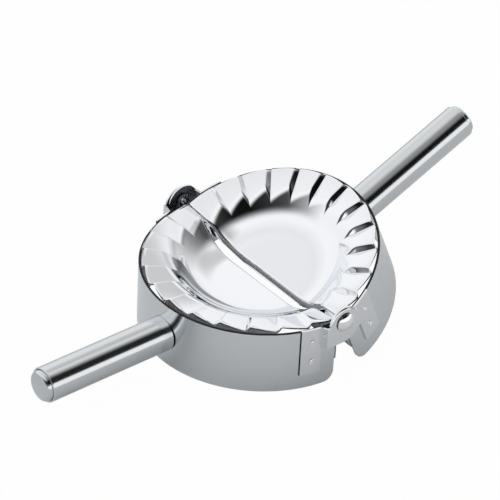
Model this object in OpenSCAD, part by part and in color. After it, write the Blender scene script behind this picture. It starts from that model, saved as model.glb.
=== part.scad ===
// Empanada press in stainless steel: two half rings on a common hinge line, each with a
// pressed pan in its top, a cutting skirt below and a tubular handle at its side.
// The ring lies flat on +Z up. X runs along the handles, Y along the hinge line, and the
// origin is the middle of the ring, on the plane of the cutting edge.
// The half on -X stands level. The half on +X is folded up by rest_fold, as when it is used.

/* [Ring] */
// Diameter over the crimped rim
ring_d = 95; // [80:1:130]
// Height from the cutting edge up to the low tips of the rim
ring_h = 28.4; // [27:0.2:40]
// Sheet that the cutting skirts are rolled from
skirt_wall = 1; // [0.7:0.1:1.4]
// How far the skirt stands out past the rim
skirt_proud = 0.8; // [0.5:0.1:0.8]
// Radius of the skirt's lower corners, beside the hinge
corner_r = 4.4; // [2:0.2:8]

/* [Pan] */
// Sheet that the pans are pressed from
pan_wall = 0.7; // [0.5:0.1:0.9]
// Teeth round the rim of one half
teeth = 12; // [8:1:16]
// Rise of a tooth, from its low tip to its high tip, at the outer edge
tooth_rise = 1.5; // [0.8:0.1:2]
// The same rise where the rim meets the bowl
tooth_rise_in = 2.1; // [1.5:0.1:2.4]
// Angle by which the teeth are turned round the ring from an even division
tooth_lead = 0.2; // [0:0.05:0.2]
// Share of a tooth's pitch that its steep step takes
step_share = 0.16; // [0.15:0.01:0.4]
// How far the outer edge is drawn in at a high tip
tip_pull = 1.2; // [0:0.1:2]
// Fall of the rim from its outer edge to the bowl
rim_fall = 1.4; // [0:0.1:2]
// Depth of the bowl below the middle level of the rim
bowl_depth = 10.4; // [9:0.2:12]
// Radius at which the line of the bowl's wall crosses the middle level of the rim
bowl_r = 38.2; // [36:0.2:40]
// Steepest slope of the bowl's wall, in degrees
wall_angle = 38; // [36:1:46]
// Radius of the bowl's flat floor
floor_r = 17; // [12:0.5:20]
// Outside radius of the bend along the parting edge
edge_bend_r = 1.2; // [1:0.1:1.6]
// Space left between the two parting edges when the ring lies flat
parting_gap = 0.4; // [0.3:0.1:1]
// Height of the parting web under the floor of the bowl
web_under_floor = 6.6; // [4:0.2:8]
// Height of the parting web at its shallow ends, from the rim's low tips down
web_side_h = 11.7; // [9:0.1:13]
// Height of the lugs that close the ends of the skirt, from the rim's low tips down
lug_h = 18.6; // [15:0.2:22]
// Length of those lugs along the parting edge
lug_l = 6.6; // [5:0.2:8]

/* [Hinge] */
// Angle by which the right half is folded up from the flat ring
rest_fold = 22.9; // [0:0.1:180]
// Space between the two rims when the press is shut
closed_gap = 0.5; // [0.3:0.1:1.5]
// Sheet that the hinge leaves are cut from
leaf_wall = 0.8; // [0.6:0.1:1]
// Distance from the hinge line to the far edge of a leaf's plate
leaf_reach = 16.6; // [14:0.2:20]
// Height of a leaf's plate
leaf_h = 21.2; // [18:0.2:23]
// Height of a leaf's tab where it leaves the plate
tab_h = 10; // [8:0.2:14]
// Distance from the hinge line to the fold of the leaves with the outer ears
outer_fold_u = 8.3; // [8.3:0.1:10]
// Distance from the hinge line to the fold of the leaves with the inner ears
inner_fold_u = 7.6; // [7:0.1:10]
// Radius of the outer ears
outer_ear_r = 7.6; // [7:0.1:8]
// Depth of the middle of an outer ear's outline below the rivet
outer_ear_drop = 2; // [0:0.1:2.4]
// Radius of the inner ears
inner_ear_r = 7.1; // [6:0.1:7.2]
// Depth of the middle of an inner ear's outline below the rivet
inner_ear_drop = 1.2; // [0:0.1:1.6]
// Space between the inner ear and the skirt, in which the rivet's tail lies
ear_stand = 2.1; // [1.8:0.1:3]
// Space between the faces of two ears
ear_gap = 0.2; // [0.1:0.05:0.4]
// Diameter of the rivets
rivet_d = 4; // [3:0.1:5]
// Diameter of the rivet's domed head
rivet_head_d = 8; // [6:0.2:9]
// Height of that head
rivet_head_h = 2.2; // [1.2:0.1:3]
// Diameter of the spot welds in the leaves
weld_d = 1.8; // [1:0.1:3]

/* [Handles] */
// Diameter of the handle tubes
handle_d = 14.4; // [12:0.2:18]
// Wall of the handle tubes
handle_wall = 0.8; // [0.6:0.1:1.2]
// Length of a handle tube, from the skirt to its open end
handle_l = 57.4; // [40:0.2:80]
// Depth of the handle's axis below the rim's low tips
handle_drop = 15; // [12:0.2:18]
// How far the end cap stands out of its tube
cap_proud = 2.4; // [1:0.1:4]
// Depth of the end cap's spigot in the tube
cap_spigot = 6; // [3:0.5:10]
// Radius of the end cap's edge
cap_edge_r = 0.9; // [0.4:0.1:1.5]
// Length of the threaded plug in the inner end of a tube
plug_l = 12; // [8:0.5:20]
// Diameter of the handle's screw
screw_d = 4.9; // [3.9:0.1:5.9]
// Diameter of the screw's head
screw_head_d = 9; // [8:0.1:10]
// Height of the screw's head
screw_head_h = 2.6; // [2:0.1:3.5]
// Depth to which the screw goes into the plug
screw_grip = 8; // [4:0.5:9]
// Thickness of the spring washer under the head
washer_wall = 1.2; // [0.8:0.1:1.6]

/* [Hidden] */
$fn = 96;

// Space between two pieces of one half that seat on each other
seat_gap = 0.05;
// Space round a rivet, screw or spigot in its hole
hole_gap = 0.05;
// Overrun of a cut past the face it opens
over = 1;

polished = [0.93, 0.94, 0.95];
satin = [0.72, 0.74, 0.76];
bright = [0.85, 0.86, 0.87];

rim_r = ring_d / 2;
skirt_r = rim_r + skirt_proud;
skirt_in_r = skirt_r - skirt_wall;
skirt_h = ring_h - pan_wall - seat_gap;
edge_u = parting_gap / 2;
skirt_end_u = edge_u + pan_wall + seat_gap;
rim_mid_z = ring_h + tooth_rise / 2;
hinge_z = rim_mid_z + closed_gap / 2;
screw_hole_share = 1.1;
screw_hole_d = screw_hole_share * screw_d;

// Slopes of the rim and the arc that leads from the bowl's floor into its wall

rim_w = rim_r - bowl_r;
rim_slope = rim_fall / rim_w;
rise_slope = (tooth_rise_in - tooth_rise) / rim_w;
wall_slope = tan(wall_angle);
arc_slope = tan(wall_angle / 2);
arc_end_r = (bowl_r * wall_slope - floor_r * arc_slope - bowl_depth) / (wall_slope - arc_slope);
arc_r = (arc_end_r - floor_r) / sin(wall_angle);

// Columns of the pan round the half, and its rows from the floor out to the rim's edge

tooth_pitch = 180 / teeth;
tile_share = 1 - step_share;
column_shares = [step_share / 2, step_share / 2 + tile_share / 3,
    1 - step_share / 2 - tile_share / 3, 1 - step_share / 2];
// Height along a tooth's pitch, from the middle of the steep step: 1 is a high tip, -1 a low one
level_table = [[0, 0], [step_share / 2, 1], [1 - step_share / 2, -1], [1, 0]];
// Places of the rows down the wall, from the floor to the crease below the rim
wall_row_shares = [0, 0.17, 0.34, 0.5, 0.66, 0.83, 1];
wall_rows = len(wall_row_shares);
// Nearest and farthest places across the rim of the two rows at the lug's corner
rim_row_shares = [[0.2, 0.6], [0.4, 0.8]];
rows = wall_rows + len(rim_row_shares) + 1;
// Free space kept between the parting edge and the first column beside it
column_margin_share = 0.003;
web_side_share = 0.7;
lug_y = skirt_r - lug_l;
web_low_z = [
    [0, rim_mid_z - bowl_depth - web_under_floor],
    [floor_r, rim_mid_z - bowl_depth - web_under_floor],
    [web_side_share * rim_r, ring_h - web_side_h],
    [lug_y - pan_wall, ring_h - web_side_h],
    [lug_y + pan_wall, ring_h - lug_h],
    [skirt_r, ring_h - lug_h]
];

// Angles at which the bend of the parting edge is divided, from its upright face
bend_angles = [0, 45];
strip = len(bend_angles) + 1;

function held(value, low, high) = max(low, min(value, high));

// Level of the teeth at an angle round the half, and the radius of the crease below that place
function level_at(a) = let (s = (a - tooth_lead) / tooth_pitch) lookup(s - floor(s), level_table);
function tile_slope(t) = rim_slope - t * rise_slope / 2;
function crease_r(t) = (bowl_r * wall_slope + t * tooth_rise / 2 - tile_slope(t) * rim_r)
    / (wall_slope - tile_slope(t));

// Height of the upper face from the rim's middle level, on the rim and in the bowl
function tile_z(r, t) = t * tooth_rise / 2 - tile_slope(t) * (rim_r - r);
function bowl_z(r) = r >= arc_end_r ? -(bowl_r - r) * wall_slope
    : r <= floor_r ? -bowl_depth
    : arc_r - bowl_depth - sqrt(pow(arc_r, 2) - pow(r - floor_r, 2));

// Radius of a row where the teeth stand at level t, and the slope of the sheet there
function row_r(i, t) =
    let (inner = crease_r(t), outer = rim_r - tip_pull * (1 + t) / 2, w = outer - inner)
    i < wall_rows ? floor_r + wall_row_shares[i] * (inner - floor_r)
    : i == rows - 1 ? outer
    : let (share = rim_row_shares[i - wall_rows], side = i == wall_rows ? -1 : 1)
        held(lug_y + side * pan_wall, inner + share[0] * w, inner + share[1] * w);
function row_tilt(i, r, t) = i == rows - 1 ? 0
    : i >= wall_rows ? atan(tile_slope(t))
    : i == wall_rows - 1 ? (wall_angle + atan(tile_slope(t))) / 2
    : r <= floor_r ? 0
    : r >= arc_end_r ? wall_angle
    : asin((r - floor_r) / arc_r);

// Angles of the columns; the first and the last run straight along the parting edge
bend_u = edge_u + edge_bend_r;
free_x = bend_u + column_margin_share * rim_r;
first_angle = asin(bend_u / rim_r);
angles = concat([first_angle],
    [for (k = [0 : teeth - 1], s = column_shares)
        let (a = tooth_lead + (k + s) * tooth_pitch)
        if (floor_r * sin(a) > free_x) a],
    [180 - first_angle]);
columns = len(angles);
level = [for (a = angles) level_at(a)];
function column_angle(j, r) = j == 0 ? asin(bend_u / r)
    : j == columns - 1 ? 180 - asin(bend_u / r)
    : angles[j];

// One point of the pan: side 0 is the upper face, side 1 the lower face of the sheet
function face_point(i, j, side) =
    let (t = level[j],
        r = row_r(i, t),
        tilt = row_tilt(i, r, t),
        rr = r + side * pan_wall * sin(tilt),
        a = column_angle(j, rr),
        z = rim_mid_z + (i < wall_rows ? bowl_z(r) : tile_z(r, t)))
    [-rr * sin(a), rr * cos(a), z - side * pan_wall * cos(tilt)];

// The bend and the web at one end of a row; y_side is 1 at the far end and -1 at the near end
function strip_points(i, side, y_side) =
    let (p = face_point(i, y_side > 0 ? 0 : columns - 1, side),
        y_web = i == rows - 1 ? skirt_r * y_side : p[1],
        top_z = p[2] + side * pan_wall,
        bend = edge_bend_r - side * pan_wall)
    concat(
        [[-edge_u - side * pan_wall, y_web, lookup(abs(y_web), web_low_z)]],
        [for (a = bend_angles)
            [-bend_u + bend * cos(a), a == 0 ? y_web : p[1], top_z - edge_bend_r + bend * sin(a)]]
    );

function reversed(list) = [for (i = [len(list) - 1 : -1 : 0]) list[i]];

function pan_row(i, side) = concat(
    strip_points(i, side, 1),
    [for (j = [0 : columns - 1]) face_point(i, j, side)],
    reversed(strip_points(i, side, -1))
);

// Places and sizes of the hinge leaves

leaf_in_r = skirt_r + seat_gap;
leaf_out_r = leaf_in_r + leaf_wall;
leaf_top_z = ring_h - leaf_wall / 2;
inner_ear_y = skirt_r + ear_stand;
outer_ear_y = inner_ear_y + leaf_wall + ear_gap;
// Top of a tab beside its ear, which stays under the middle plane of the shut press
tab_top_z = hinge_z - closed_gap / 2;
// Run of a leaf's joggle along the hinge line's normal
outer_joggle_u = 0.3;
inner_joggle_u = 0.7;
// Heights of the spot welds, as shares of the plate's height, and their depth
weld_shares = [0.29, 0.72];
weld_depth_share = 0.3;
weld_depth = weld_depth_share * leaf_wall;
weld_angle = asin((leaf_reach + inner_fold_u) / 2 / leaf_out_r);

// Rivets
tail_r_share = 0.75;
tail_edge_share = 0.15;
tail_hole_share = 0.42;
tail_depth_share = 0.6;
rivet_edge_share = 0.2;
tail_r = tail_r_share * rivet_d;
tail_edge_r = tail_edge_share * rivet_d;
tail_hole_r = tail_hole_share * rivet_d;
tail_hole_depth = tail_depth_share * rivet_d;
rivet_edge_h = rivet_edge_share * rivet_head_h;
tail_gap = ear_gap / 2;

// Handles
handle_z = ring_h - handle_drop;
tube_in_r = handle_d / 2 - handle_wall;
tube_end_u = skirt_r + handle_l;
spigot_r = tube_in_r - hole_gap;
washer_seat_u = sqrt(pow(skirt_in_r, 2) - pow(screw_head_d / 2, 2)) - hole_gap;
washer_r = screw_head_d / 2;
washer_split_share = 0.2;
washer_split = washer_split_share * screw_d;
screw_seat_u = washer_seat_u - washer_wall;
head_edge_share = 0.4;
head_edge_r = head_edge_share * screw_head_h;
recess_l_share = 0.55;
recess_w_share = 0.12;
recess_depth_share = 0.55;
recess_l = recess_l_share * screw_head_d;
recess_w = recess_w_share * screw_head_d;
recess_depth = recess_depth_share * screw_head_h;

// Turns a piece of the left half into its twin on the folded right half
module folded() {
    translate([0, 0, hinge_z])
        rotate([0, -rest_fold, 0])
            translate([0, 0, -hinge_z])
                rotate([0, 0, 180])
                    children();
}

// Lays a piece drawn along +Z on the handle's axis, outward from the middle of the ring
module on_handle(u) {
    translate([-u, 0, handle_z])
        rotate([0, -90, 0])
            children();
}

// Lays a piece drawn along +Z on the hinge line, outward at the near or the far end
module on_hinge(y, y_side) {
    translate([0, y_side * y, hinge_z])
        rotate([-90 * y_side, 0, 0])
            children();
}

// Sheet seen on edge, standing from the base line up to a rounded top
module rounded_wall(r_in, wall, h) {
    translate([r_in, 0])
        square([wall, h - wall / 2]);
    translate([r_in + wall / 2, h - wall / 2])
        circle(d = wall);
}

// Round bar seen in half section, with its end edge rounded
module rounded_end(r, h, edge) {
    square([r - edge, h]);
    square([r, h - edge]);
    translate([r - edge, h - edge])
        intersection() {
            circle(edge);
            square(edge + over);
        }
}

// Half ring that cuts the dough, open below and along the parting line
module skirt() {
    difference() {
        rotate([0, 0, 90])
            rotate_extrude(angle = 180)
                rounded_wall(skirt_in_r, skirt_wall, skirt_h);
        translate([-skirt_end_u, -skirt_r - over, -over])
            cube([skirt_end_u + over, 2 * (skirt_r + over), skirt_h + 2 * over]);
        rotate([90, 0, 0])
            linear_extrude(2 * (skirt_r + over), center = true)
                corner_waste();
        on_handle(skirt_in_r - over)
            cylinder(d = screw_hole_d, h = skirt_wall + 2 * over);
    }
}

// What is cut away outside the round of a lower corner
module corner_waste() {
    translate([-skirt_end_u - corner_r, 0])
        difference() {
            translate([0, -over])
                square([corner_r + over, corner_r + over]);
            translate([0, corner_r])
                circle(corner_r);
        }
}

// Pressed pan: half a bowl, a toothed crimping rim round it and a web along the parting line
module pan() {
    width = columns + 2 * strip;
    points = [for (side = [0, 1], i = [0 : rows - 1]) each pan_row(i, side)];
    size = rows * width;
    last = (rows - 1) * width;
    sheet = [
        for (i = [0 : rows - 2], j = [0 : width - 2])
            let (a = i * width + j)
            [a, a + 1, a + width + 1, a + width]
    ];
    middle = concat(
        [for (j = [0 : strip - 1]) [j, width - 1 - j, width - 2 - j, j + 1]],
        [[for (j = [width - strip - 1 : -1 : strip]) j]]
    );
    outer_edge = [for (j = [0 : width - 2])
        [last + j, last + j + 1, size + last + j + 1, size + last + j]];
    web_edges = [for (i = [0 : rows - 2])
        let (a = i * width, b = a + width - 1)
        each [[a, a + width, size + a + width, size + a], [b + width, b, size + b, size + b + width]]];
    middle_edge = [[0, size, size + width - 1, width - 1]];
    upper = concat(sheet, middle);
    lower = [for (face = upper) [for (i = reversed(face)) size + i]];
    polyhedron(points, concat(upper, lower, outer_edge, web_edges, middle_edge), convexity = 8);
}

// Strip of sheet from one point of the plan to the next, with round bends at both ends
module strip_run(p, q) {
    along = q - p;
    across = [along[1], -along[0]] / norm(along) * leaf_wall / 2;
    polygon([p + across, q + across, q - across, p - across]);
    for (end = [p, q])
        translate(end)
            circle(d = leaf_wall);
}

// Hinge leaf of the left half: a curved plate on the skirt, a joggled tab and a round ear
module leaf(y_side, ear_y, radius, drop, fold_u, joggle_u) {
    ear_u = fold_u - joggle_u;
    ear_z = hinge_z - drop;
    mirror([0, y_side > 0 ? 1 : 0, 0])
        difference() {
            union() {
                leaf_plate(fold_u);
                leaf_tab(ear_y, ear_z - radius, fold_u, ear_u);
                translate([-ear_u, -ear_y - leaf_wall, ear_z - radius])
                    cube([ear_u, leaf_wall, tab_top_z - ear_z + radius]);
                translate([0, -ear_y, ear_z])
                    rotate([90, 0, 0])
                        cylinder(r = radius, h = leaf_wall);
            }
            on_hinge(ear_y - over, -1)
                cylinder(d = rivet_d + 2 * hole_gap, h = leaf_wall + 2 * over);
            for (s = weld_shares)
                translate([0, 0, leaf_top_z - s * leaf_h])
                    rotate([0, 0, -90 - weld_angle])
                        translate([leaf_out_r - weld_depth, 0, 0])
                            rotate([0, 90, 0])
                                cylinder(d = weld_d, h = leaf_wall);
        }
}

// Joggle from the plate to the ear, whose upper and lower edges rise towards the ear
module leaf_tab(ear_y, ear_low_z, fold_u, ear_u) {
    fold_y = sqrt(pow(leaf_in_r + leaf_wall / 2, 2) - pow(fold_u, 2));
    root_y = fold_y - leaf_wall;
    end_y = ear_y + leaf_wall;
    intersection() {
        translate([0, 0, -over])
            linear_extrude(tab_top_z + 2 * over)
                strip_run([-fold_u, -fold_y], [-ear_u, -ear_y - leaf_wall / 2]);
        rotate([90, 0, -90])
            linear_extrude(fold_u + 2 * leaf_wall)
                polygon([[root_y, leaf_top_z - tab_h], [end_y, ear_low_z],
                    [end_y, tab_top_z], [fold_y, leaf_top_z], [root_y, leaf_top_z]]);
    }
}

module outer_leaf(y_side) {
    leaf(y_side, outer_ear_y, outer_ear_r, outer_ear_drop, outer_fold_u, outer_joggle_u);
}

module inner_leaf(y_side) {
    leaf(y_side, inner_ear_y, inner_ear_r, inner_ear_drop, inner_fold_u, inner_joggle_u);
}

// Part of the leaf that is spot welded on the outside of the skirt
module leaf_plate(fold_u) {
    intersection() {
        difference() {
            cylinder(r = leaf_out_r, h = leaf_top_z, $fn = 180);
            translate([0, 0, -over])
                cylinder(r = leaf_in_r, h = leaf_top_z + 2 * over, $fn = 180);
        }
        translate([-leaf_reach, -leaf_out_r, leaf_top_z - leaf_h])
            cube([leaf_reach - fold_u, leaf_out_r, leaf_h]);
    }
}

// Semi-tubular rivet: a dome outside the outer ear, a rolled tail inside the inner ear
module rivet(y_side) {
    grip = 2 * leaf_wall + ear_gap + tail_gap;
    dome_h = rivet_head_h - rivet_edge_h;
    dome_r = (pow(rivet_head_d / 2, 2) + pow(dome_h, 2)) / (2 * dome_h);
    on_hinge(outer_ear_y + leaf_wall + seat_gap, y_side)
        difference() {
            union() {
                rotate_extrude() {
                    square([rivet_head_d / 2, rivet_edge_h]);
                    translate([0, rivet_edge_h])
                        intersection() {
                            translate([0, dome_h - dome_r])
                                circle(dome_r);
                            square([rivet_head_d / 2, dome_h]);
                        }
                    translate([0, -grip])
                        square([rivet_d / 2, grip]);
                    translate([0, -grip - 2 * tail_edge_r - seat_gap]) {
                        square([tail_r - tail_edge_r, 2 * tail_edge_r]);
                        translate([tail_r - tail_edge_r, tail_edge_r])
                            circle(tail_edge_r);
                    }
                    translate([0, -grip - tail_edge_r])
                        square([rivet_d / 2, tail_edge_r]);
                }
            }
            translate([0, 0, -grip - 2 * tail_edge_r - seat_gap - over])
                cylinder(r = tail_hole_r, h = tail_hole_depth + over);
        }
}

// Handle tube, cut square at its inner end and rounded at its outer end
module handle_tube() {
    on_handle(skirt_r + seat_gap)
        rotate_extrude()
            rounded_wall(tube_in_r, handle_wall, handle_l - seat_gap);
}

// Solid cap pressed into the outer end of a tube
module end_cap() {
    on_handle(tube_end_u - cap_spigot)
        rotate_extrude()
            rounded_end(spigot_r, cap_spigot + cap_proud, cap_edge_r);
}

// Threaded plug in the inner end of a tube, which the handle's screw pulls on to the skirt
module handle_plug() {
    difference() {
        on_handle(skirt_r + seat_gap)
            cylinder(r = spigot_r, h = plug_l);
        on_handle(skirt_r - over)
            cylinder(d = screw_d + 2 * hole_gap, h = screw_grip + 2 * over);
    }
}

// Screw that holds the handle, with its cross-slotted head inside the skirt
module handle_screw() {
    difference() {
        union() {
            on_handle(screw_seat_u)
                cylinder(d = screw_d, h = skirt_r + screw_grip - screw_seat_u);
            on_handle(screw_seat_u)
                rotate([180, 0, 0])
                    rotate_extrude()
                        rounded_end(screw_head_d / 2, screw_head_h, head_edge_r);
        }
        on_handle(screw_seat_u - screw_head_h + recess_depth / 2)
            for (turn = [0, 90])
                rotate([0, 0, turn])
                    cube([recess_l, recess_w, recess_depth + seat_gap], center = true);
    }
}

// Split spring washer between the screw's head and the skirt
module spring_washer() {
    difference() {
        on_handle(screw_seat_u + seat_gap)
            cylinder(r = washer_r, h = washer_wall - seat_gap);
        on_handle(screw_seat_u - over)
            cylinder(d = screw_hole_d, h = washer_wall + 2 * over);
        on_handle(screw_seat_u - over)
            translate([0, -washer_split / 2, 0])
                cube([washer_r + over, washer_split, washer_wall + 2 * over]);
    }
}

module left_skirt() { color(satin) skirt(); }
module left_pan() { color(polished) pan(); }
module left_near_leaf() { color(satin) outer_leaf(-1); }
module left_far_leaf() { color(satin) outer_leaf(1); }
module left_handle_tube() { color(bright) handle_tube(); }
module left_end_cap() { color(satin) end_cap(); }
module left_handle_plug() { color(satin) handle_plug(); }
module left_handle_screw() { color(bright) handle_screw(); }
module left_spring_washer() { color(bright) spring_washer(); }
module near_rivet() { color(bright) rivet(-1); }
module far_rivet() { color(bright) rivet(1); }
module right_skirt() { color(satin) folded() skirt(); }
module right_pan() { color(polished) folded() pan(); }
module right_near_leaf() { color(satin) folded() inner_leaf(1); }
module right_far_leaf() { color(satin) folded() inner_leaf(-1); }
module right_handle_tube() { color(bright) folded() handle_tube(); }
module right_end_cap() { color(satin) folded() end_cap(); }
module right_handle_plug() { color(satin) folded() handle_plug(); }
module right_handle_screw() { color(bright) folded() handle_screw(); }
module right_spring_washer() { color(bright) folded() spring_washer(); }

left_skirt();
left_pan();
left_near_leaf();
left_far_leaf();
left_handle_tube();
left_end_cap();
left_handle_plug();
left_handle_screw();
left_spring_washer();
near_rivet();
far_rivet();
right_skirt();
right_pan();
right_near_leaf();
right_far_leaf();
right_handle_tube();
right_end_cap();
right_handle_plug();
right_handle_screw();
right_spring_washer();
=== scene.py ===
import math

import bmesh
import bpy
from mathutils import Matrix, Vector


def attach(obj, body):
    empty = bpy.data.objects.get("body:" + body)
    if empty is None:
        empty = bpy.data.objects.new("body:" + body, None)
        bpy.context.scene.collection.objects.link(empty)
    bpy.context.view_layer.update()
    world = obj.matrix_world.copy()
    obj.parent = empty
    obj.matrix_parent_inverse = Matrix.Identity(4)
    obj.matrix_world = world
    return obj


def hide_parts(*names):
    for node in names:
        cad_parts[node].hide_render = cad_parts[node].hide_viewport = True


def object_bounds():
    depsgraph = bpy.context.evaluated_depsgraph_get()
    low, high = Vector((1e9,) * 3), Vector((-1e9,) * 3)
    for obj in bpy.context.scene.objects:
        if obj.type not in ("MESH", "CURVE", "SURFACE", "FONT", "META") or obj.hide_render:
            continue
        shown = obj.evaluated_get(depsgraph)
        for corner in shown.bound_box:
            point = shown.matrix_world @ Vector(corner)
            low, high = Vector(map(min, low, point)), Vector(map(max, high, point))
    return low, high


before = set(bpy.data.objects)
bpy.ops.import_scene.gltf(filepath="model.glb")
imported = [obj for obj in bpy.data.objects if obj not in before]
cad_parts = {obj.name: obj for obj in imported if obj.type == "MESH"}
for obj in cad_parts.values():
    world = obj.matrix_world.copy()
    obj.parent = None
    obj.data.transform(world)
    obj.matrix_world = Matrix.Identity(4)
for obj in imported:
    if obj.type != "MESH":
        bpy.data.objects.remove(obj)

# the empty scene that Blender opens with has a cube, a lamp and a camera of its own
for spareName in ("Cube", "Light", "Camera"):
    if spareName in bpy.data.objects:
        bpy.data.objects.remove(bpy.data.objects[spareName], do_unlink=True)

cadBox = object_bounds()
mm = 0.001
bodies = {"left": "base_half", "right": "folding_half"}
print("frame loaded:", len(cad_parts), "nodes")


def linear(hexColour):
    # an sRGB hex colour as the linear one that the shaders take
    channels = [int(hexColour[place:place + 2], 16) / 255 for place in (1, 3, 5)]
    return tuple(c / 12.92 if c <= 0.04045 else ((c + 0.055) / 1.055) ** 2.4 for c in channels) + (1,)


def addNode(tree, kind, settings=None, links=None):
    # adds one node, sets its options or sockets by name, and plugs outputs into its sockets
    node = tree.nodes.new(kind)
    for name, value in (settings or {}).items():
        if isinstance(name, int) or not hasattr(node, name):
            node.inputs[name].default_value = value
        else:
            setattr(node, name, value)
    for name, output in (links or {}).items():
        tree.links.new(output, node.inputs[name])
    return node


def towards(azimuth, elevation):
    # a direction from degrees round, where 0 is +Y and 90 is +X, and degrees up
    azimuth = math.radians(azimuth)
    elevation = math.radians(elevation)
    return Vector((math.sin(azimuth) * math.cos(elevation), math.cos(azimuth) * math.cos(elevation),
                   math.sin(elevation)))


cameraView = {
    "azimuth": -40.86,      # degrees, 0 looks along +Y
    "elevation": 35.46,
    "roll": 3.19,
    "distance": 1.259,      # metres from the middle of the ring
    "focalLength": 228.5,   # mm
    "sensorWidth": 36,      # mm
    "clipStart": 0.05,      # metres
    "middle": (0, 0, 28.4 * mm),
    "aimLeft": 4.05 * mm,   # the picture's centre lies this far left of the ring's middle
    "aimUp": 4.0 * mm,      # and this far above it
}


def placeCamera(view):
    back = towards(180 - view["azimuth"], view["elevation"])
    azimuth = math.radians(view["azimuth"])
    level = Vector((math.cos(azimuth), math.sin(azimuth), 0))
    right = Matrix.Rotation(math.radians(view["roll"]), 3, back) @ level
    up = back.cross(right)
    place = Vector(view["middle"]) + back * view["distance"]
    aim = Vector(view["middle"]) - right * view["aimLeft"] + up * view["aimUp"]
    # turned from the ring's middle to the picture's centre
    back = (place - aim).normalized()
    right = up.cross(back).normalized()
    up = back.cross(right)
    data = bpy.data.cameras.new("view")
    data.sensor_width = view["sensorWidth"]
    data.lens = view["focalLength"]
    data.clip_start = view["clipStart"]
    camera = bpy.data.objects.new("view", data)
    bpy.context.scene.collection.objects.link(camera)
    camera.matrix_world = Matrix.Translation(place) @ Matrix((right, up, back)).transposed().to_4x4()
    bpy.context.scene.camera = camera


placeCamera(cameraView)
print("camera placed")

studio = {
    "upAzimuth": -13,       # the light stands square to the press as it leans back, 0 is +Y
    "upElevation": 62.5,
    # edges across the tent's unlit opening: degrees above the tent's own horizon, and softness
    "edges": {"low": (-2, 3), "foot": (11, 6), "high": (36, 10)},
    # degrees round the tent from the camera to its right, and the brightness there
    "band": [(-180, 1), (-90, 1), (-70, 0.4), (-48, 0.06), (-10, 0.006), (56, 0.004), (68, 0.015),
             (80, 0.1), (96, 0.34), (112, 0.68), (130, 1), (180, 1)],
    # the same below the foot edge, where the room's floor brightens one side of the opening
    "foot": [(-180, 1), (-78, 1), (-66, 0.03), (-52, 0.1), (-37, 0.22), (-10, 0.17), (8, 0.14),
             (24, 0.01), (52, 0.004), (66, 0.03), (80, 0.18), (96, 0.45), (112, 0.75), (130, 1), (180, 1)],
    # degrees up the tent, and the brightness there
    "wall": [(-60, 1.15), (-3, 1.15), (6, 0.78), (16, 0.9), (34, 0.98), (50, 1), (72, 0.86), (90, 0.92)],
    # soft shades on the tent: degrees round it, degrees up, width, and the brightness in the middle
    "shades": [(48, 46, 30, 0.3), (118, 47, 19, 0.64)],
    "white": "#ffffff",
    "floorColour": "#f6f7f8",
    "floorReach": 6,            # metres from the middle to each edge of the paper
    "floorWhiteInMetal": 0.06,  # share of plain white where the metal mirrors the paper
    "floorShadow": 0.02,        # share of the real shade where the camera sees the paper
    "shadedRadius": 38 * mm,    # the paper inside the level half is in full shade, as gaps show it
}


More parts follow.
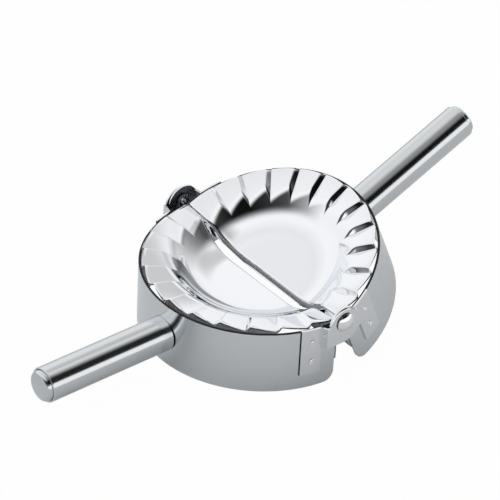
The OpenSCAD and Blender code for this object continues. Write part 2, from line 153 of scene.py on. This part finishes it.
def studioLight(look):
    # a white tent all round with one dark opening on the camera's side, as metal shows it
    world = bpy.data.worlds.new("tent")
    bpy.context.scene.world = world
    world.use_nodes = True
    tree = world.node_tree
    tree.nodes.clear()
    # the tent's own axes: up, towards the camera and across
    up = towards(look["upAzimuth"], look["upElevation"])
    front = towards(180 - cameraView["azimuth"], cameraView["elevation"])
    front = (front - up * front.dot(up)).normalized()
    aside = up.cross(front)
    ways = addNode(tree, "ShaderNodeTexCoord").outputs["Generated"]
    along = [addNode(tree, "ShaderNodeVectorMath", {"operation": "DOT_PRODUCT", 1: axis}, {0: ways})
             for axis in (up, front, aside)]
    height = addNode(tree, "ShaderNodeMath", {"operation": "ARCSINE"}, {0: along[0].outputs["Value"]})
    around = addNode(tree, "ShaderNodeMath", {"operation": "ARCTAN2"},
                     {0: along[2].outputs["Value"], 1: along[1].outputs["Value"]})
    above = {}
    for name, (place, soft) in look["edges"].items():
        # 0 below the edge and 1 above it
        edge = addNode(tree, "ShaderNodeMapRange",
                       {"interpolation_type": "SMOOTHSTEP", "From Min": math.radians(place - soft),
                        "From Max": math.radians(place + soft)}, {"Value": height.outputs[0]})
        above[name] = edge.outputs["Result"]
    levels = {}
    for name, angle in (("band", around), ("foot", around), ("wall", height)):
        start = look[name][0][0]
        end = look[name][-1][0]
        share = addNode(tree, "ShaderNodeMapRange",
                        {"From Min": math.radians(start), "From Max": math.radians(end)},
                        {"Value": angle.outputs[0]})
        ramp = addNode(tree, "ShaderNodeValToRGB", None, {"Fac": share.outputs["Result"]})
        stops = ramp.color_ramp.elements
        while len(stops) < len(look[name]):
            stops.new(1)
        for stop, (place, level) in zip(stops, look[name]):
            stop.position = (place - start) / (end - start)
            stop.color = (level, level, level, 1)
        levels[name] = ramp.outputs["Color"]
    # the opening between its foot and its top, then full light below and above it
    opening = addNode(tree, "ShaderNodeMix", {"data_type": "FLOAT"},
                      {0: above["foot"], 2: levels["foot"], 3: levels["band"]})
    opening = addNode(tree, "ShaderNodeMix", {"data_type": "FLOAT", 2: 1},
                      {0: above["low"], 3: opening.outputs[0]})
    opening = addNode(tree, "ShaderNodeMix", {"data_type": "FLOAT", 3: 1},
                      {0: above["high"], 2: opening.outputs[0]})
    level = addNode(tree, "ShaderNodeMath", {"operation": "MULTIPLY"},
                    {0: opening.outputs[0], 1: levels["wall"]})
    for place, rise, width, middle in look["shades"]:
        place = math.radians(place)
        rise = math.radians(rise)
        shade = (front * math.cos(place) + aside * math.sin(place)) * math.cos(rise) + up * math.sin(rise)
        toShade = addNode(tree, "ShaderNodeVectorMath", {"operation": "DOT_PRODUCT", 1: shade}, {0: ways})
        veil = addNode(tree, "ShaderNodeMapRange",
                       {"interpolation_type": "SMOOTHSTEP", "From Min": math.cos(math.radians(width)),
                        "To Min": 1, "To Max": middle}, {"Value": toShade.outputs["Value"]})
        level = addNode(tree, "ShaderNodeMath", {"operation": "MULTIPLY"},
                        {0: level.outputs[0], 1: veil.outputs["Result"]})
    # the camera itself, also through clear things, sees plain white behind the press
    rays = addNode(tree, "ShaderNodeLightPath")
    seen = addNode(tree, "ShaderNodeMath", {"operation": "MAXIMUM"},
                   {0: rays.outputs["Is Camera Ray"], 1: rays.outputs["Is Transmission Ray"]})
    strength = addNode(tree, "ShaderNodeMix", {"data_type": "FLOAT", 3: 1},
                       {0: seen.outputs[0], 2: level.outputs[0]})
    light = addNode(tree, "ShaderNodeBackground", {"Color": linear(look["white"])},
                    {"Strength": strength.outputs[0]})
    addNode(tree, "ShaderNodeOutputWorld", None, {"Surface": light.outputs[0]})


def studioFloor(look):
    # a pale sheet that the camera sees as white, with a little of the shadow kept
    reach = look["floorReach"]
    corners = [(x * reach, y * reach, cadBox[0][2]) for x, y in ((-1, -1), (1, -1), (1, 1), (-1, 1))]
    mesh = bpy.data.meshes.new("floor")
    mesh.from_pydata(corners, [], [(0, 1, 2, 3)])
    floor = bpy.data.objects.new("floor", mesh)
    bpy.context.scene.collection.objects.link(floor)
    material = bpy.data.materials.new("studio_paper")
    material.use_nodes = True
    tree = material.node_tree
    tree.nodes.clear()
    rays = addNode(tree, "ShaderNodeLightPath")
    paper = addNode(tree, "ShaderNodeBsdfDiffuse", {"Color": linear(look["floorColour"])})
    glow = addNode(tree, "ShaderNodeEmission", {"Color": linear(look["white"]), "Strength": 1})
    # 1 on the bare paper, 0 inside the level half
    place = addNode(tree, "ShaderNodeTexCoord").outputs["Object"]
    fromMiddle = addNode(tree, "ShaderNodeVectorMath", {"operation": "LENGTH"}, {0: place})
    outside = addNode(tree, "ShaderNodeMath", {"operation": "GREATER_THAN", 1: look["shadedRadius"]},
                      {0: fromMiddle.outputs["Value"]})
    axes = addNode(tree, "ShaderNodeSeparateXYZ", None, {0: place})
    beyond = addNode(tree, "ShaderNodeMath", {"operation": "GREATER_THAN", 1: 0}, {0: axes.outputs["X"]})
    bare = addNode(tree, "ShaderNodeMath", {"operation": "MAXIMUM"},
                   {0: outside.outputs[0], 1: beyond.outputs[0]})
    white = addNode(tree, "ShaderNodeMath", {"operation": "MULTIPLY", 1: 1 - look["floorShadow"]},
                    {0: rays.outputs["Is Camera Ray"]})
    seen = addNode(tree, "ShaderNodeMath", {"operation": "MULTIPLY"},
                   {0: white.outputs[0], 1: bare.outputs[0]})
    inMetal = addNode(tree, "ShaderNodeMath", {"operation": "MULTIPLY", 1: look["floorWhiteInMetal"]},
                      {0: rays.outputs["Is Glossy Ray"]})
    either = addNode(tree, "ShaderNodeMath", {"operation": "MAXIMUM"},
                     {0: inMetal.outputs[0], 1: seen.outputs[0]})
    through = addNode(tree, "ShaderNodeMath", {"operation": "MAXIMUM"},
                      {0: either.outputs[0], 1: rays.outputs["Is Transmission Ray"]})
    mix = addNode(tree, "ShaderNodeMixShader", None,
                  {0: through.outputs[0], 1: paper.outputs[0], 2: glow.outputs[0]})
    addNode(tree, "ShaderNodeOutputMaterial", None, {"Surface": mix.outputs[0]})
    mesh.materials.append(material)


studioLight(studio)
studioFloor(studio)
print("studio lit")

# grain is the size of the marks and bump their depth, both in mm; a grain under 1 mm is drawn
# coarser than the real rolling, drawing or turning marks, so that it shows
metals = {
    "pan": {
        "name": "stainless_mirror_polished",
        "colour": "#f3f5f8",        # buffed after pressing, so it shows the tent almost unchanged
        "roughness": 0.03,
        "roughnessSpread": 0.03,
        "grain": 1.6,               # the soft unevenness left by the press
        "bump": 0.0012,
    },
    "trimmedShade": {
        "name": "stainless_trimmed_edge",
        "colour": "#8b8d90",        # cut edge of the pan, rougher than its faces; its dark grey is painted shade along the rim's outline
        "roughness": 0.4,
        "roughnessSpread": 0.1,
        "grain": 0.3,
        "bump": 0.01,
    },
    "skirt": {
        "name": "stainless_rolled_bright",
        "colour": "#e3e7ea",        # bright rolled sheet, a soft mirror that is greyer than the pan
        "roughness": 0.13,
        "roughnessSpread": 0.05,
        "grain": 0.6,
        "bump": 0.006,
    },
    "tube": {
        "name": "stainless_drawn_tube",
        "colour": "#d9dcde",        # drawn and then polished along its length, so stripes stay soft
        "roughness": 0.15,
        "roughnessSpread": 0.04,
        "grain": 0.5,
        "bump": 0.006,
    },
    "leaf": {
        "name": "stainless_stamped",
        "colour": "#eef0f2",        # stamped sheet, tumbled smooth, with hardly any grain
        "roughness": 0.16,
        "roughnessSpread": 0.03,
        "grain": 1.5,
        "bump": 0.001,
    },
    "turned": {
        "name": "stainless_turned",
        "colour": "#d5d8da",        # cut on a lathe, a little greyer than polished metal
        "roughness": 0.12,
        "roughnessSpread": 0.05,
        "grain": 0.5,
        "bump": 0.005,
    },
    "sheared": {
        "name": "stainless_sheared_edge",
        "colour": "#3a3c3f",        # painted shade: a dark steel for edges that lie in shade, much darker than the faces beside it
        "roughness": 0.5,
        "roughnessSpread": 0.2,
        "grain": 0.3,
        "bump": 0.02,
    },
    "dull": {
        "name": "stainless_mill_dull",
        "colour": "#6b6e73",        # inner faces that no wheel reached, a duller finish; their flat dark grey is also painted shade, where they lie between the ears and inside the press
        "roughness": 0.36,
        "roughnessSpread": 0.08,
        "grain": 1.2,
        "bump": 0.002,
    },
    "rivet": {
        "name": "stainless_headed_bright",
        "colour": "#fbfcfd",        # cold-headed and barrel polished, brighter than the leaves
        "roughness": 0.07,
        "roughnessSpread": 0.03,
        "grain": 0.8,
        "bump": 0.001,
    },
}
grainNoise = {"Detail": 3, "Roughness": 0.5}


def steel(look):
    # metal with a grain that varies its roughness and height
    material = bpy.data.materials.new(look["name"])
    material.use_nodes = True
    tree = material.node_tree
    tree.nodes.clear()
    place = addNode(tree, "ShaderNodeTexCoord")
    grain = addNode(tree, "ShaderNodeTexNoise", {"Scale": 1 / (look["grain"] * mm), **grainNoise},
                    {"Vector": place.outputs["Object"]})
    spread = look["roughnessSpread"] / 2
    rough = addNode(tree, "ShaderNodeMapRange",
                    {"To Min": look["roughness"] - spread, "To Max": look["roughness"] + spread},
                    {"Value": grain.outputs["Fac"]})
    bump = addNode(tree, "ShaderNodeBump",
                   {"Strength": 1, "Distance": look["bump"] * mm}, {"Height": grain.outputs["Fac"]})
    surface = addNode(tree, "ShaderNodeBsdfPrincipled",
                      {"Base Color": linear(look["colour"]), "Metallic": 1},
                      {"Roughness": rough.outputs["Result"], "Normal": bump.outputs["Normal"]})
    addNode(tree, "ShaderNodeOutputMaterial", None, {"Surface": surface.outputs[0]})
    return material


steels = {use: steel(look) for use, look in metals.items()}

# the metal of each CAD node, by what follows the side in its name
finishes = {
    "skirt": "skirt", "pan": "pan", "near_leaf": "leaf", "far_leaf": "leaf", "handle_tube": "tube",
    "end_cap": "tube", "handle_plug": "turned", "handle_screw": "turned", "spring_washer": "turned",
    "rivet": "turned",
}
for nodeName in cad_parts:
    kind = nodeName.split("_", 1)[1]
    for slot in bpy.data.objects[nodeName].material_slots:
        slot.material = steels[finishes[kind]]
print("metals made")

press = {
    "rimRadius": 47.5,          # all in mm, on the level half
    "rimLow": 28.4,             # height of the low tips of the teeth
    "hingeHeight": 29.4,
    "restFold": 22.9,           # degrees by which the right half is folded up
    "skirtRadius": 48.3,
    "skirtTop": 27.2,           # where the skirt's straight wall ends and its round edge starts
    "partingGap": 0.4,          # between the two halves' pans
}


def placed(point, side):
    # a point of the left half in mm as a place in the scene, or its twin on the right half
    x, y, z = point
    if side == "right":
        fold = math.radians(press["restFold"])
        x, y, z = -x, -y, z - press["hingeHeight"]
        x, z = x * math.cos(fold) - z * math.sin(fold), x * math.sin(fold) + z * math.cos(fold)
        z += press["hingeHeight"]
    return (x * mm, y * mm, z * mm)


def levelPlace(point, side):
    # the other way round: a place in the scene as a point of the left half in mm
    x, y, z = (value / mm for value in point)
    if side == "right":
        fold = math.radians(press["restFold"])
        z -= press["hingeHeight"]
        x, z = x * math.cos(fold) + z * math.sin(fold), z * math.cos(fold) - x * math.sin(fold)
        x, y, z = -x, -y, z + press["hingeHeight"]
    return x, y, z


def addPiece(name, points, faces, side, material, replaced):
    mesh = bpy.data.meshes.new(name)
    mesh.from_pydata([placed(point, side) for point in points], [], faces)
    mesh.validate()
    mesh.polygons.foreach_set("use_smooth", [True] * len(mesh.polygons))
    mesh.materials.append(material)
    piece = bpy.data.objects.new(name, mesh)
    bpy.context.scene.collection.objects.link(piece)
    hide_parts(*replaced)
    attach(piece, bodies[side])
    return piece


pressedPan = {
    "sheet": 0.7,               # mm, thickness
    "teeth": 12,
    "rise": 1.5,                # mm from a low tip to a high tip at the outer edge
    "riseIn": 2.1,              # and where the rim meets the bowl
    "stepShare": 0.16,          # of the pitch
    "lead": 0.2,                # degrees from the parting line to the middle of the first step
    "turnOver": 0.4,            # share of the pitch before a step at which the next tooth begins
    "footSoft": 0.12,           # rounding at the foot of a step, as a share of half the rise
    "topSoft": 0.5,             # and at its top
    "fall": 1.4,                # mm that the rim falls from its outer edge to the bowl
    "pull": 1.2,                # mm that the outer edge is drawn in at a high tip
    "curl": 0.3,                # mm that the sheet turns down at such a tip
    "curlWidth": 1.2,           # mm
    "bowlRadius": 38.2,
    "bowlDepth": 10.4,
    "floorRadius": 17,
    "wallAngle": 38,            # degrees
    "creaseSoft": 1.3,          # mm, how softly the bowl's wall turns into the rim
    "creaseReach": 1.1,         # rows lie dense this many times creaseSoft round the crease
    "edgeBend": 1.2,            # mm, radius of the bend along the parting line
    "webUnderFloor": 6.6,       # mm that the web reaches below the bowl's floor
    "webSide": 11.7,            # mm that it reaches below the rim beside the bowl
    "webSideFrom": 0.7,         # share of the rim's radius from which it does
    "lugHeight": 18.6,          # mm that the end lugs reach below the rim
    "lugLength": 6.6,           # mm along the parting line
    "endClear": 4.8,            # degrees at each end that the bend takes up
    "endProbe": 2,              # degrees from the parting line where the end columns read the teeth
    "normalProbe": 0.02,        # mm to each side of a point where its slope is read
    "arcRows": 14,              # rows of points up the arc from the floor to the wall
    "wallRows": 5,              # up the straight wall
    "creaseRows": 14,           # round the crease
    "rimRows": 12,              # and across the rim
    "bendSteps": 6,             # points round the bend at the parting line
    # places of the columns along one step and one tile, dense where the sheet is bent
    "stepPlaces": [0, 0.03, 0.07, 0.12, 0.25, 0.5, 0.75, 0.88, 1],
    "tilePlaces": [0.01, 0.025, 0.05, 0.09, 0.14, 0.22, 0.35, 0.5, 0.65, 0.8, 0.9, 0.95, 0.98, 0.993],
}


def softMin(first, second, soft):
    # the lower of two heights, with their crossing rounded
    near = max(soft - abs(first - second), 0) / soft
    return min(first, second) - near * near * soft / 4


def panSurface(look):
    # the upper face of the sheet on the half ring: its tooth wave, its height and its rows
    rim = press["rimRadius"]
    middle = press["rimLow"] + look["rise"] / 2
    pitch = 180 / look["teeth"]
    step = look["stepShare"]
    steep = math.tan(math.radians(look["wallAngle"]))
    halfTan = math.tan(math.radians(look["wallAngle"] / 2))
    floor = look["floorRadius"]
    depth = look["bowlDepth"]
    bowl = look["bowlRadius"]
    # the floor turns up into the wall along an arc
    arcEnd = (bowl * steep - floor * halfTan - depth) / (steep - halfTan)
    arc = (arcEnd - floor) / math.sin(math.radians(look["wallAngle"]))
    dip = look["fall"] / (rim - bowl)
    grow = (look["riseIn"] - look["rise"]) / (rim - bowl)

    def level(angle):
        # the wave of the teeth at an angle round the half, from -1 at a low tip to 1 at a high one
        share = (angle - look["lead"]) / pitch + step / 2
        share = share - math.floor(share + look["turnOver"])
        before = -1 - 2 * share / (1 - step)
        rising = -1 + 2 * share / step
        after = 1 - 2 * (share - step) / (1 - step)
        foot = -softMin(-before, -rising, look["footSoft"])
        return softMin(foot, after, look["topSoft"])

    def wall(radius):
        # height of the bowl against the rim
        if radius >= arcEnd:
            return -(bowl - radius) * steep
        if radius <= floor:
            return -depth
        return -depth + arc - math.sqrt(arc * arc - (radius - floor) ** 2)

    def edgeAt(tooth):
        return rim - look["pull"] * (1 + tooth) / 2

    def height(tooth, radius):
        tile = tooth * look["rise"] / 2 - (dip - tooth * grow / 2) * (rim - radius)
        near = max(0, 1 - (edgeAt(tooth) - radius) / look["curlWidth"])
        tile -= look["curl"] * (1 + tooth) / 2 * near * near
        return middle + softMin(tile, wall(radius), look["creaseSoft"])

    def rows(tooth):
        # radii of one column, which follow the crease between rim and bowl
        slope = dip - tooth * grow / 2
        crease = (bowl * steep + tooth * look["rise"] / 2 - slope * rim) / (steep - slope)
        soft = look["creaseReach"] * look["creaseSoft"] / (steep - slope)
        stretches = ((floor, arcEnd, look["arcRows"]),
                     (arcEnd, crease - soft, look["wallRows"]),
                     (crease - soft, crease + soft, look["creaseRows"]),
                     (crease + soft, edgeAt(tooth), look["rimRows"]))
        radii = [start + (end - start) * i / count for start, end, count in stretches for i in range(count)]
        return radii + [edgeAt(tooth)]

    return level, height, rows


def makePan(side):
    look = pressedPan
    level, height, rows = panSurface(look)
    pitch = 180 / look["teeth"]
    step = look["stepShare"]
    edge = press["partingGap"] / 2
    bendStart = edge + look["edgeBend"]
    places = [step * s for s in look["stepPlaces"]] + [step + (1 - step) * s for s in look["tilePlaces"]]
    angles = [look["lead"] + pitch * (tooth + place - step / 2)
              for tooth in range(look["teeth"] + 1) for place in places]
    angles = [angle for angle in angles if look["endClear"] < angle < 180 - look["endClear"]]

    def upper(angle, radius):
        turn = math.radians(angle)
        return Vector((-radius * math.sin(turn), radius * math.cos(turn), height(level(angle), radius)))

    def normalAt(angle, radius):
        probe = look["normalProbe"]
        turn = math.degrees(probe / radius)
        along = upper(angle + turn, radius) - upper(angle - turn, radius)
        out = upper(angle, radius + probe) - upper(angle, radius - probe)
        return out.cross(along).normalized()

    # the web's lower edge, by distance from the middle along the parting line
    lugIn = press["skirtRadius"] - look["lugLength"]
    underFloor = press["rimLow"] + look["rise"] / 2 - look["bowlDepth"] - look["webUnderFloor"]
    besideBowl = press["rimLow"] - look["webSide"]
    underLug = press["rimLow"] - look["lugHeight"]
    webTable = [(0, underFloor), (look["floorRadius"], underFloor),
                (look["webSideFrom"] * press["rimRadius"], besideBowl), (lugIn - look["sheet"], besideBowl),
                (lugIn + look["sheet"], underLug), (press["skirtRadius"], underLug)]

    def webLow(y):
        y = abs(y)
        for (y0, z0), (y1, z1) in zip(webTable, webTable[1:]):
            if y <= y1:
                return z0 + (z1 - z0) * (y - y0) / (y1 - y0)
        return underLug

    def stripPoints(radius, face, far, outermost):
        # one row's end at the parting line: up the web, round the bend and on to the rim
        turn = math.degrees(math.asin(bendStart / radius))
        end = upper(turn if far else 180 - turn, radius)
        y = end.y
        webY = math.copysign(press["skirtRadius"], y) if outermost else y
        bend = look["edgeBend"] - face * look["sheet"]
        strip = [(-edge - face * look["sheet"], webY, webLow(webY))]
        for i in range(look["bendSteps"]):
            turn = math.radians(90 * i / look["bendSteps"])
            strip.append((-bendStart + bend * math.cos(turn), webY if i == 0 else y,
                          end.z - look["edgeBend"] + bend * math.sin(turn)))
        strip.append((-bendStart, y, end.z - face * look["sheet"]))
        return strip

    farRows = rows(level(look["endProbe"]))
    nearRows = rows(level(180 - look["endProbe"]))
    columnRows = [rows(level(angle)) for angle in angles]
    rowCount = len(farRows)
    points = []
    for face in (0, 1):     # the upper face, then the lower one a sheet's thickness under it
        for i in range(rowCount):
            outermost = i == rowCount - 1
            row = stripPoints(farRows[i], face, True, outermost)
            for angle, radii in zip(angles, columnRows):
                point = upper(angle, radii[i])
                if face:
                    point = point - normalAt(angle, radii[i]) * look["sheet"]
                row.append(tuple(point))
            row += stripPoints(nearRows[i], face, False, outermost)[::-1]
            points += row
    width = len(points) // (2 * rowCount)
    size = rowCount * width
    sheet = []
    for i in range(rowCount - 1):
        for j in range(width - 1):
            a = i * width + j
            sheet.append((a, a + 1, a + width + 1, a + width))
    # the innermost row is sewn across the middle of the bowl's floor
    for j in range(width // 2):
        if j + 1 < width - 2 - j:
            sheet.append((j, width - 1 - j, width - 2 - j, j + 1))
        elif j + 1 == width - 2 - j:
            sheet.append((j, width - 1 - j, j + 1))
    faces = [face[::-1] for face in sheet] + [tuple(size + i for i in face) for face in sheet]
    # the cut edges: round the rim, then along the web
    rimEdge = size - width
    for j in range(rimEdge, size - 1):
        faces.append((j + 1, size + j + 1, size + j, j))
    for i in range(rowCount - 1):
        a = i * width
        b = a + width - 1
        faces.append((a, a + width, size + a + width, size + a))
        faces.append((b + width, b, size + b, size + b + width))
    faces.append((0, size, size + width - 1, width - 1))
    name = side + "_pan"
    pan = addPiece(name + "_pressed", points, faces, side, steels["pan"], [name])
    # the rim's cut edge gets the darker steel, which paints the shade along the rim's outline as well as
    # its rougher cut
    pan.data.materials.append(steels["trimmedShade"])
    for face in pan.data.polygons[2 * len(sheet):2 * len(sheet) + width - 1]:
        face.material_index = 1
        face.use_smooth = False


for side in bodies:
    makePan(side)
print("pans pressed")

edges = {
    "leafBevel": 0.14,          # mm, the sheared edges broken by tumbling
    "skirtBevel": 0.1,
    "rivetBevel": 0.12,
    "segments": 2,
    "profile": 0.6,             # a little fuller than round
    "bevelFrom": 40,            # degrees between two faces from which their edge is broken
    "sharpFrom": 35,            # and from which an edge stays sharp in the shading
    "joinWithin": 0.002,        # mm between points that become one
    "dropUnder": 0.001,         # mm, shorter edges are dropped
    "faceWeight": 100,          # the large faces alone set the shading
}


def finishedCopy(nodeName, uses, bevel, pick):
    # the CAD piece again, with its sharp edges broken; pick says which metal a face gets
    side = "right" if nodeName.startswith("right") else "left"
    source = bpy.data.objects[nodeName]
    mesh = source.data.copy()
    mesh.name = nodeName + "_finished"
    mesh.materials.clear()
    for use in uses:
        mesh.materials.append(steels[use])
    work = bmesh.new()
    work.from_mesh(mesh)
    bmesh.ops.remove_doubles(work, verts=work.verts, dist=edges["joinWithin"] * mm)
    bmesh.ops.dissolve_degenerate(work, edges=work.edges, dist=edges["dropUnder"] * mm)
    for face in work.faces:
        face.smooth = True
        middle = source.matrix_world @ face.calc_center_median()
        # 1 where the face looks along the hinge line to the middle of the press
        inward = -math.copysign(1, middle.y) * face.normal.y
        face.material_index = uses.index(pick(levelPlace(middle, side), inward))
    sharp = [edge for edge in work.edges if len(edge.link_faces) == 2
             and edge.calc_face_angle(0) > math.radians(edges["bevelFrom"])]
    bmesh.ops.bevel(work, geom=sharp, offset=bevel * mm, segments=edges["segments"],
                    profile=edges["profile"], affect="EDGES", clamp_overlap=True, material=0)
    work.to_mesh(mesh)
    work.free()
    mesh.set_sharp_from_angle(angle=math.radians(edges["sharpFrom"]))
    piece = bpy.data.objects.new(nodeName + "_finished", mesh)
    even = piece.modifiers.new("even_shading", "WEIGHTED_NORMAL")
    even.weight = edges["faceWeight"]
    even.keep_sharp = True
    bpy.context.scene.collection.objects.link(piece)
    piece.matrix_world = source.matrix_world.copy()
    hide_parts(nodeName)
    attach(piece, bodies[side])


leafFaces = {
    "reach": 16.6,              # mm from the hinge line to the far edge of a leaf
    "within": 0.03,             # mm off that place that still counts as the edge
    "inward": 0.5,              # faces that look inwards by more than this are inner faces
}


def skirtFinish(place, inward):
    # the round top edge lies in the shade of the pan's rim, and that shade is painted on it with the dark
    # steel
    return "sheared" if place[2] > press["skirtTop"] else "skirt"


def leafFinish(place, inward):
    # the cut far edge lies in a shadow gap and gets the dark steel of painted shade, and the inner faces,
    # which no polishing wheel reached and which lie in shade between the ears, get the dull steel that also
    # paints that shade
    if abs(place[0] + leafFaces["reach"]) < leafFaces["within"]:
        return "sheared"
    return "dull" if inward > leafFaces["inward"] else "leaf"


for side in bodies:
    finishedCopy(side + "_skirt", ["skirt", "sheared"], edges["skirtBevel"], skirtFinish)
    for leafName in (side + "_near_leaf", side + "_far_leaf"):
        finishedCopy(leafName, ["leaf", "sheared", "dull"], edges["leafBevel"], leafFinish)
print("skirts and leaves finished")

endCap = {
    "tubeEnd": 105.7,           # mm from the ring's middle
    "axisHeight": 13.4,
    "spigot": 6,                # mm that it reaches into the tube
    "spigotChamfer": 0.3,
    "radius": 6.35,
    "proud": 2.4,               # mm that it stands out of the tube
    "edgeRadius": 1.5,
    "edgeTurn": 82.8,           # degrees that the rounded edge turns before the face takes over
    "dome": 0.3,                # mm that the face bulges
    "steps": 10,                # points along the rounded edge, and as many across the face
    "turns": 96,                # points round the cap
}


def capProfile(look):
    # radius and distance along the handle, from the middle of the hidden end out to the face
    hidden = look["tubeEnd"] - look["spigot"]
    end = look["tubeEnd"] + look["proud"]
    radius = look["radius"]
    corner = look["edgeRadius"]
    profile = [(0, hidden), (radius - look["spigotChamfer"], hidden),
               (radius, hidden + look["spigotChamfer"]), (radius, look["tubeEnd"])]
    for i in range(look["steps"] + 1):
        turn = math.radians(look["edgeTurn"] * i / look["steps"])
        profile.append((radius - corner + corner * math.cos(turn),
                        end - look["dome"] - corner + corner * math.sin(turn)))
    faceRadius, facePlace = profile[-1]
    for i in range(1, look["steps"] + 1):
        share = 1 - i / look["steps"]
        profile.append((faceRadius * share, end - (end - facePlace) * share ** 2))
    return profile


def turnedPiece(name, profile, foot, axis, turns, side, use, replaced):
    # turns a profile of radius and height about an axis that starts at foot, in mm on the level half
    axis = Vector(axis).normalized()
    across = axis.orthogonal().normalized()
    third = axis.cross(across)
    points = []
    for radius, height in profile:
        for i in range(turns):
            turn = 2 * math.pi * i / turns
            place = Vector(foot) + axis * height
            place += (across * math.cos(turn) + third * math.sin(turn)) * radius
            points.append(tuple(place))
    faces = []
    for row in range(len(profile) - 1):
        for i in range(turns):
            a = row * turns + i
            b = row * turns + (i + 1) % turns
            faces.append((a, b, b + turns, a + turns))
    addPiece(name, points, faces, side, steels[use], replaced)


for side in bodies:
    capName = side + "_end_cap"
    turnedPiece(capName + "_turned", capProfile(endCap), (0, 0, endCap["axisHeight"]), (-1, 0, 0),
                endCap["turns"], side, "tube", [capName])
print("caps turned")

rivetFaces = {
    "tailEnd": 50.6,            # mm from the middle, the rolled tail lies inside it
    "headRadius": 3.7,          # mm, the head's upright side lies outside it
    "upright": 0.3,             # faces that look along the rivet by less than this are upright
}


def rivetFinish(place, inward):
    # the short upright side of the head lies in its own shade, painted with the dark shade steel, and the
    # rolled tail inside the press gets the dull steel, whose dark grey is painted shade as well as a dull
    # finish
    x, y, z = place
    if abs(y) < rivetFaces["tailEnd"]:
        return "dull"
    fromAxis = math.hypot(x, z - press["hingeHeight"])
    if fromAxis > rivetFaces["headRadius"] and abs(inward) < rivetFaces["upright"]:
        return "sheared"
    return "rivet"


for nodeName in ("near_rivet", "far_rivet"):
    finishedCopy(nodeName, ["rivet", "sheared", "dull"], edges["rivetBevel"], rivetFinish)
print("rivets finished")

spotWeld = {
    "heights": [21.85, 12.74],  # mm above the cutting edge
    "turnedBy": 14.25,          # degrees round the skirt from the hinge line
    "leafRadius": 49.15,        # mm from the ring's middle to the leaf's outer face
    # radius and height over the leaf, from the middle out
    "profile": [(0, 0.24), (0.2, 0.22), (0.4, 0.13), (0.6, -0.02), (0.72, -0.04), (0.86, 0.1), (1, 0.24),
                (1.12, 0.26), (1.26, 0.16), (1.38, -0.04)],
    "turns": 40,
}


def makeWelds(look, side, end):
    turn = math.radians(look["turnedBy"])
    out = (-math.sin(turn), end * math.cos(turn), 0)
    # the right half's near end is the level half's far end
    ending = "near" if (end < 0) == (side == "left") else "far"
    for place, height in enumerate(look["heights"]):
        foot = (out[0] * look["leafRadius"], out[1] * look["leafRadius"], height)
        turnedPiece(f"{side}_{ending}_weld_{place}", look["profile"], foot, out, look["turns"],
                    side, "leaf", [])


for side in bodies:
    for end in (-1, 1):
        makeWelds(spotWeld, side, end)
print("welds pressed")

bpy.context.scene.view_settings.view_transform = "Standard"
